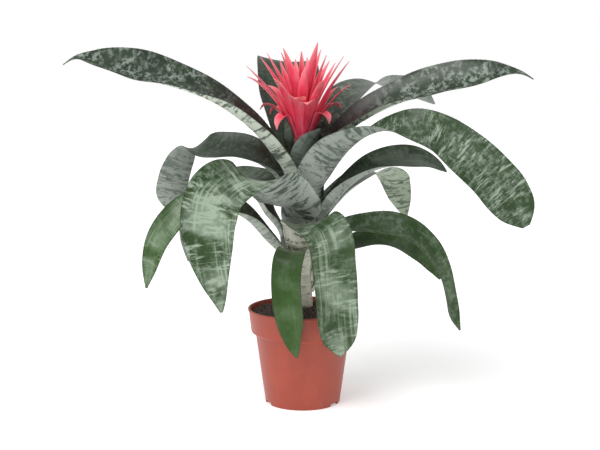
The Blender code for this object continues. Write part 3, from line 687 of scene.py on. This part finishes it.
def shell_faces(rows, columns):
    """Faces of a closed thin shell: its upper grid, its lower grid, and the strip between them."""
    def at(row, column):
        return row * columns + column

    under = rows * columns
    upper_side, lower_side, rim = [], [], []
    for row in range(rows - 1):
        for column in range(columns - 1):
            corners = (at(row, column), at(row + 1, column), at(row + 1, column + 1), at(row, column + 1))
            upper_side.append(corners)
            lower_side.append(tuple(under + corner for corner in reversed(corners)))
        left, left_on = at(row, 0), at(row + 1, 0)
        right, right_on = at(row, columns - 1), at(row + 1, columns - 1)
        rim.append((left, under + left, under + left_on, left_on))
        rim.append((right, right_on, under + right_on, under + right))
    for column in range(columns - 1):
        base, base_on = at(0, column), at(0, column + 1)
        tip, tip_on = at(rows - 1, column), at(rows - 1, column + 1)
        rim.append((base, base_on, under + base_on, under + base))
        rim.append((tip, under + tip, under + tip_on, tip_on))
    return upper_side, lower_side, rim


def blade_uv(across, widths, reach, across_shift, along_shift):
    """A blade's own coordinates in metres, shifted so that no two blades share a pattern."""
    uv = np.empty((len(reach), len(across), 2))
    uv[:, :, 0] = across * widths[:, None] / 2 + across_shift
    uv[:, :, 1] = reach[:, None] + along_shift
    return uv


def thin_shell(name, grid, thickness, uv, values, *skins):
    """A closed shell about a grid, with its values and its upper, lower and rim finishes."""
    rows, columns = grid.shape[:2]
    half = facing(grid) * thickness[None, :, None] / 2
    points = np.concatenate(((grid + half).reshape(-1, 3), (grid - half).reshape(-1, 3)))
    sides = shell_faces(rows, columns)
    item = plain_mesh(name, points, sum(sides, []), *skins)
    mesh = item.data
    mesh.polygons.foreach_set("material_index", [skin for skin, side in enumerate(sides) for _ in side])
    corners = np.empty(len(mesh.loops), int)
    mesh.loops.foreach_get("vertex_index", corners)
    mesh.uv_layers.new(name="blade").data.foreach_set(
        "uv", np.tile(uv.reshape(-1, 2), (2, 1))[corners].ravel())
    for label, field in values.items():
        layer = mesh.attributes.new(label, "FLOAT", "POINT")
        layer.data.foreach_set("value", np.tile(np.broadcast_to(field, (rows, columns)).ravel(), 2))
    mesh.set_sharp_from_angle(angle=math.radians(60))
    return item


def sheath_rows(number, azimuth, rise, stock_width, mouth_width, lean):
    """Three stations of a sheath that hugs the stock and opens like a funnel, in millimetres."""
    start = 2 + number * SHEATH_PITCH
    taper = (STOCK_TOP_RADIUS - STOCK_RADIUS) / STOCK_LENGTH
    base_radius = STOCK_RADIUS / MM + SHEATH_CLEARANCE + taper * start
    angle = math.radians(azimuth)
    rows = []
    for share in (0, 0.5, 1):
        radius = base_radius + SHEATH_SLOPE * rise * share + lean * share ** 2
        width = stock_width + (mouth_width - stock_width) * share
        rows.append((radius * math.cos(angle), radius * math.sin(angle), start + rise * share,
                     width, math.degrees(width / radius), 0))
    return rows


def step_between(value, low, high):
    share = np.clip((value - low) / (high - low), 0, 1)
    return share * share * (3 - 2 * share)


LEAF_WAVE = 0.9 * MM
LEAF_WAVE_RUN = 10.5 * MM
LEAF_PLEAT = 0.10 * MM
LEAF_GROOVE = 0.35 * MM


def leaf_blade(number, name, rows, azimuth, skins):
    """One leaf: its two faces and the values that its skins read; returns its points."""
    even = np.linspace(-1, 1, 25)
    across = 0.45 * even + 0.55 * np.sin(even * math.pi / 2)
    grid, reach, widths = strap_grid(rows, azimuth, 130, across)
    share = (reach / reach[-1])[:, None]
    edge = np.abs(across)
    free = step_between(share, 0.18, 0.40) * (1 - step_between(share, 0.90, 1.0))
    wave = LEAF_WAVE * edge ** 3 * np.sin(reach[:, None] / LEAF_WAVE_RUN + number * 1.7 + 2.2 * (across > 0))
    pleat = LEAF_PLEAT * np.cos(across * math.pi * 6) * (1 - edge ** 4)
    groove = -LEAF_GROOVE * np.exp(-(across / 0.07) ** 2)
    grid = grid + facing(grid) * (wave * free + (pleat + groove) * step_between(share, 0.0, 0.1))[:, :, None]
    thickness = LEAF_EDGE + (LEAF_THICKNESS - LEAF_EDGE) * (1 - across ** 6)
    mottling, banding, streaks_and_sheen, freshness, purpling, under_banding, paling, painted_shading = LEAF_LOOKS[name]
    values = {
        "mottling": mottling,
        "banding": banding,
        # pale streaks, partly painted highlight; the same amount sets the painted sheen along the middle
        "streaks_and_sheen": streaks_and_sheen * step_between(share, 0.30, 0.55),
        "freshness": freshness * (0.65 + 0.35 * step_between(share, 0.3, 0.7)),
        "purpling": purpling * step_between(share, 0.10, 0.20) * (1 - step_between(share, 0.38, 0.62)),
        "under_banding": under_banding,
        "paling": 1 - step_between(share, paling * 0.7, paling * 1.35),
        "rimming": 1 - step_between((1 - edge) * widths[:, None] / 2, 0.3 * MM, 1.1 * MM),
        # where the painted sheen lies: along the middle of the blade, from about a third of its length on
        "sheen_middle": (1 - edge ** 2) * step_between(share, 0.3, 0.5),
        # painted shade over the whole underside above 0, painted light below 0
        "painted_shading": painted_shading,
    }
    uv = blade_uv(across, widths, reach, 0.137 * number, 0.291 * number)
    item = thin_shell(name + "_blade", grid, thickness, uv, values, *skins)
    finish_piece(item, "leaf_tissue", name)
    return grid


leaf_skins = (leaf_upper_skin(), leaf_under_skin(), leaf_margin_skin())
leaf_grids = []
for number, (name, azimuth, rise, stock_width, mouth_width, lean, blade) in enumerate(LEAVES):
    rows = sheath_rows(number, azimuth, rise, stock_width, mouth_width, lean) + blade
    rows = [(x, y, height + CROWN / MM, *rest) for x, y, height, *rest in rows]
    leaf_grids.append(leaf_blade(number, name, rows, azimuth, leaf_skins))


# ---------------------------------------------------------------- margin spines
# The short dark teeth that point forwards along both margins of every leaf. One small spine
# is repeated at even steps along the margins by a Geometry Nodes tree.
SPINE_STEP = 5.2 * MM
SPINE_LENGTH = 0.9 * MM


def outward_turn(tree):
    """The turn that points a copy along the direction stored at its point."""
    outward = add_node(tree, "GeometryNodeInputNamedAttribute", {"Name": "outward"}, data_type="FLOAT_VECTOR")
    inputs = {"Vector": outward.outputs[0]}
    return add_node(tree, "FunctionNodeAlignRotationToVector", inputs, axis="Z").outputs[0]


def margin_line_tree():
    """A tooth at even steps along each line, leaning outwards along the line's stored direction."""
    tree, given = new_geometry_tree("margin_teeth", Step="Float", Length="Float")
    line = add_node(tree, "GeometryNodeMeshToCurve", {0: given["Geometry"]})
    spots = add_node(tree, "GeometryNodeResampleCurve", {
        "Curve": line.outputs[0], "Length": given["Step"]}, mode="LENGTH")
    tooth = add_node(tree, "GeometryNodeMeshCone", {
        "Vertices": 4, "Radius Top": 0.0, "Radius Bottom": 0.28, "Depth": 1.0})
    scale = product(tree, drawn_value(tree, given, 0.7, 1.2), given["Length"])
    return copies_out(tree, given, spots.outputs[0], tooth, outward_turn(tree), scale)


def marked_points(name, points, edges, outward):
    """An object of bare points and edges, with a direction stored at every point."""
    mesh = bpy.data.meshes.new(name)
    mesh.from_pydata(points, edges, [])
    mesh.attributes.new("outward", "FLOAT_VECTOR", "POINT").data.foreach_set("vector", np.ravel(outward))
    item = bpy.data.objects.new(name, mesh)
    bpy.context.scene.collection.objects.link(item)
    return item


def spine_horn():
    """Dark dry horn of the spines, browner at random."""
    material, tree, shader = new_finish("spine_horn", 0.5)
    painted(tree, shader, "2B3222", (edged(tree, solid_cloud(tree, (0.01, 0.01, 0.01)), 0.4, 0.6), "4D4A33"))
    return material


line_points, line_edges, line_outward = [], [], []
for grid in leaf_grids:
    for edge, inner in ((0, 1), (-1, -2)):
        margin = grid[24:-3, edge]
        outward = margin - grid[24:-3, inner]
        outward /= np.maximum(np.linalg.norm(outward, axis=1), 1e-9)[:, None]
        ahead = np.gradient(margin, axis=0)
        ahead /= np.maximum(np.linalg.norm(ahead, axis=1), 1e-9)[:, None]
        first = len(line_points)
        line_points.extend(margin.tolist())
        line_outward.extend((outward + 0.5 * ahead).tolist())
        line_edges.extend((first + step, first + step + 1) for step in range(len(margin) - 1))
spines = marked_points("margin_spines", line_points, line_edges, line_outward)
run_tree(spines, margin_line_tree(), Step=SPINE_STEP, Length=SPINE_LENGTH, Seed=5, Finish=spine_horn())
finish_piece(spines, "leaf_tissue")


# ---------------------------------------------------------------- flower head
# Stiff papery bracts in a dense whorl, coral pink with painted shade, a deep crimson, near the head's axis
# and paler, drier tips.
# Each is a fine cupped blade near its solid, curled further, swayed and creased.
BRACT_CLEARANCE = 0.8
BRACT_FULLNESS = 0.75
BRACT_TIP_WIDTH = 0.8
BRACT_WIDENING = 1.25
BRACT_CURL = 6.0
BRACT_SWAY = 8
BRACT_FOLD = 0.35 * MM

# azimuth, height of the base on the head, reach of the tip, its height, width, droop (all mm)
BRACTS = [
    (-108, 5, 35, 61, 18, 9), (-74, 3, 33, 55, 16, 10), (-150, 4, 34, 28, 12, 18),
    (-33, 4, 34, 34, 13, 16), (-177, 5, 46, 48, 10, 13), (60, 3, 42, 42, 13, 14),
    (112, 4, 40, 44, 13, 14), (152, 2, 39, 42, 12, 15), (16, 5, 44, 48, 11, 13),
    (-172, 12, 60, 89, 11, 0), (166, 11, 60, 80, 8, 4), (-4, 9, 52, 71, 9, 3),
    (-18, 12, 52, 94, 10, 0), (34, 9, 50, 68, 10, 4), (85, 10, 50, 72, 11, 3),
    (134, 9, 50, 70, 10, 4), (-134, 12, 44, 78, 11, 3), (-54, 12, 42, 76, 11, 3),
    (158, 17, 47, 98, 10, 0), (-160, 18, 39, 102, 10, 0), (4, 17, 44, 99, 9, 0),
    (28, 18, 42, 92, 9, 0), (52, 17, 41, 94, 9, 0), (76, 18, 40, 98, 9, 0),
    (104, 18, 40, 96, 9, 0), (130, 17, 42, 95, 9, 0), (-92, 17, 30, 88, 10, 0),
    (-122, 25, 32, 107, 10, 0), (-58, 26, 27, 113, 11, 0), (94, 27, 13, 104, 8, 0),
    (-24, 25, 29, 100, 8, 0), (150, 25, 25, 103, 8, 0), (40, 26, 24, 106, 8, 0),
]


def bract_skin():
    """Papery coral bract: veined, with painted shade in deep crimson near the head's axis, lighter rims and
    paler tips.
    """
    material, tree, shader = new_finish("coral_bract", 0.46, Subsurface_Weight=0.12, Subsurface_Scale=0.003)
    vein = leaf_cloud(tree, 0.0007, 0.03, 3.0, 0.7)
    blush = edged(tree, leaf_cloud(tree, 0.006, 0.014), 0.35, 0.65)
    # the first mark is painted shade: deep crimson where the bract lies near the head's axis, deep inside the
    # head
    marks = [(product(tree, attribute(tree, name), share), code) for name, share, code in (
        ("painted_axis_shade", 0.6, "C81E44"), ("rimming", 0.5, "F78A94"), ("tipping", 0.65, "F59A9C"),
        ("paling", 0.6, "F0A08E"))]
    painted(tree, shader, "EE3A5A", (blush, "F65C72"), (edged(tree, vein, 0.45, 0.75, 0, 0.45), "D92650"),
            *marks)
    relief(tree, shader, vein, 0.0002, 0.8)
    return material


def bract_rows(azimuth, base, reach, height, width, droop, sway):
    """Stations of one bract, on a cubic from the head's axis out to its curled tip."""
    share = base * MM / HEAD_AXIS_LENGTH
    radius = HEAD_BASE_RADIUS + (HEAD_TOP_RADIUS - HEAD_BASE_RADIUS) * share
    start = np.array((radius / MM + BRACT_CLEARANCE, base))
    bent = min(droop / 9, 1)
    tip = np.array((reach, height - BRACT_CURL * bent))
    span = tip - start
    out = start + np.array((0.22 * span[0], 0.42 * (span[1] + droop)))
    arch = tip + np.array((-0.30 * span[0], 1.6 * droop - 0.30 * (span[1] - droop) + BRACT_CURL))
    rows = []
    for t, swell, fuller in ((0, 0.6, 0), (0.2, 0.9, 0), (0.42, 1.0, 0), (0.66, 0.78, 0.25),
                             (0.86, 0.40, 0.40), (1, 0.05, 0)):
        place = ((1 - t) ** 3 * start + 3 * (1 - t) ** 2 * t * out + 3 * (1 - t) * t ** 2 * arch
                 + t ** 3 * tip)
        width_here = max(min(width * (swell + fuller * bent), BRACT_FULLNESS * place[0]), BRACT_TIP_WIDTH)
        angle = math.radians(azimuth + sway * t ** 2)
        rows.append((place[0] * math.cos(angle), place[0] * math.sin(angle),
                     place[1] + head_foot / MM, width_here, 70, 0))
    return rows


coral = bract_skin()
bract_across = np.linspace(-1, 1, 11)
bract_thickness = 0.25 * MM + 0.35 * MM * (1 - bract_across ** 4)
for number, (azimuth, base, reach, height, width, droop) in enumerate(BRACTS, start=1):
    rows = bract_rows(azimuth, base, reach, height, width * BRACT_WIDENING, droop,
                      BRACT_SWAY * math.sin(number * 2.4))
    grid, run, widths = strap_grid(rows, azimuth, 36, bract_across)
    share = (run / run[-1])[:, None]
    keel = -BRACT_FOLD * np.exp(-(bract_across / 0.16) ** 2) * (1 - share)
    ripple = (BRACT_FOLD * bract_across ** 2
              * np.sin(share * 21 + number * 2.1 + 1.5 * np.sign(bract_across)) * (1 - share))
    grid = grid + facing(grid) * (keel + ripple)[:, :, None]
    values = {
        "rimming": bract_across ** 4,
        "tipping": step_between(share, 0.70, 1.0),
        # painted shade near the head's axis, deep inside the head
        "painted_axis_shade": 1 - step_between(np.hypot(grid[:, :, 0], grid[:, :, 1]), 10 * MM, 26 * MM),
        "paling": 1 - step_between(share, 0.0, 0.22),
    }
    uv = blade_uv(bract_across, widths, run, 0.031 * number, 0.053 * number)
    bract = thin_shell(f"bract_{number:02d}_blade", grid, bract_thickness, uv, values, coral, coral, coral)
    finish_piece(bract, "bract_tissue", f"bract_{number:02d}")


# ---------------------------------------------------------------- florets
# The tight brush of pointed buds and small inner bracts in the heart of the head. A slim
# pointed scale is set on a spiral up the axis and repeated by a Geometry Nodes tree.
FLORET_COUNT = 64
FLORET_TURN = math.radians(137.5)
FLORET_LENGTH = 40 * MM
FLORET_WIDTH = 4.2 * MM


def floret_skin():
    """Warm orange-pink scales, deeper at the base."""
    material, tree, shader = new_finish("floret_scale", 0.5, Subsurface_Weight=0.1, Subsurface_Scale=0.002)
    blush = edged(tree, solid_cloud(tree, (0.004, 0.004, 0.010)), 0.35, 0.65)
    height = add_node(tree, "ShaderNodeSeparateXYZ", {0: object_place(tree)}).outputs[2]
    raised = edged(tree, height, head_foot + 0.03, head_foot + 0.09)
    painted(tree, shader, "DE3150", (raised, blended(tree, blush, "EE4B62", "F77E74")))
    return material


def floret_tree():
    """A pointed scale on every point, along its stored direction, longer or shorter at random."""
    tree, given = new_geometry_tree("floret_brush", Length="Float", Width="Float")
    scale_body = add_node(tree, "GeometryNodeMeshCone", {
        "Vertices": 7, "Side Segments": 5, "Radius Top": 0.02, "Radius Bottom": 0.5, "Depth": 1.0})
    length = product(tree, drawn_value(tree, given, 0.75, 1.15), given["Length"])
    scale = add_node(tree, "ShaderNodeCombineXYZ", {0: given["Width"], 1: given["Width"], 2: length})
    spots = add_node(tree, "GeometryNodeMeshToPoints", {0: given["Geometry"]})
    return copies_out(tree, given, spots.outputs[0], scale_body, outward_turn(tree), scale.outputs[0])


floret_points, floret_outward = [], []
for count in range(FLORET_COUNT):
    share = count / (FLORET_COUNT - 1)
    turn = count * FLORET_TURN
    lean = 0.62 * (1 - share) + 0.05
    radius = 6.0 * (1 - share) ** 0.7 + 0.8
    floret_points.append((radius * MM * math.cos(turn), radius * MM * math.sin(turn),
                          head_foot + (16 + 27 * share) * MM))
    floret_outward.append((lean * math.cos(turn), lean * math.sin(turn), 1.0))
florets = marked_points("floret_brush", floret_points, [], floret_outward)
run_tree(florets, floret_tree(), Length=FLORET_LENGTH, Width=FLORET_WIDTH, Seed=3, Finish=floret_skin())
florets.data.polygons.foreach_set("use_smooth", [True] * len(florets.data.polygons))
finish_piece(florets, "bract_tissue")


# ---------------------------------------------------------------- floor, light and camera
# A white floor with a faint glow that keeps it white, an even white surround that lights less
# than it shows, and a broad key light from the upper left front.
floor_paper = new_finish("white_paper", 0.9, Base_Color=linear("F4F4F4"), Emission_Color=linear("FFFFFF"),
                         Emission_Strength=0.30)[0]
corners = [(-6, -6, 0), (6, -6, 0), (6, 6, 0), (-6, 6, 0)]
plain_mesh("floor", corners, [(0, 1, 2, 3)], floor_paper)

world = bpy.data.worlds.new("studio")
world.use_nodes = True
backdrop = world.node_tree.nodes["Background"]
backdrop.inputs["Color"].default_value = (1.0, 1.0, 1.0, 1.0)
seen = add_node(world.node_tree, "ShaderNodeLightPath").outputs["Is Camera Ray"]
glow = add_node(world.node_tree, "ShaderNodeMapRange", {0: seen, 3: 0.60, 4: 1.0}).outputs[0]
world.node_tree.links.new(glow, backdrop.inputs["Strength"])
bpy.context.scene.world = world

key_light = bpy.data.lights.new("key", "SUN")
key_light.energy = 2.3
key_light.angle = math.radians(45)
key = bpy.data.objects.new("key", key_light)
key.rotation_euler = Vector((-0.50, -0.62, 0.85)).to_track_quat("Z", "Y").to_euler()
bpy.context.scene.collection.objects.link(key)

camera_data = bpy.data.cameras.new("camera")
camera_data.sensor_width = 36
camera_data.lens = 68.16
camera_data.clip_start = 0.05
camera_data.clip_end = 50
camera = bpy.data.objects.new("camera", camera_data)
camera.location = (-0.0029, -1.224, 0.372)
camera.rotation_euler = (math.radians(90 - 8.17), 0, 0)
bpy.context.scene.collection.objects.link(camera)
bpy.context.scene.camera = camera
bpy.context.scene.view_settings.view_transform = "Standard"
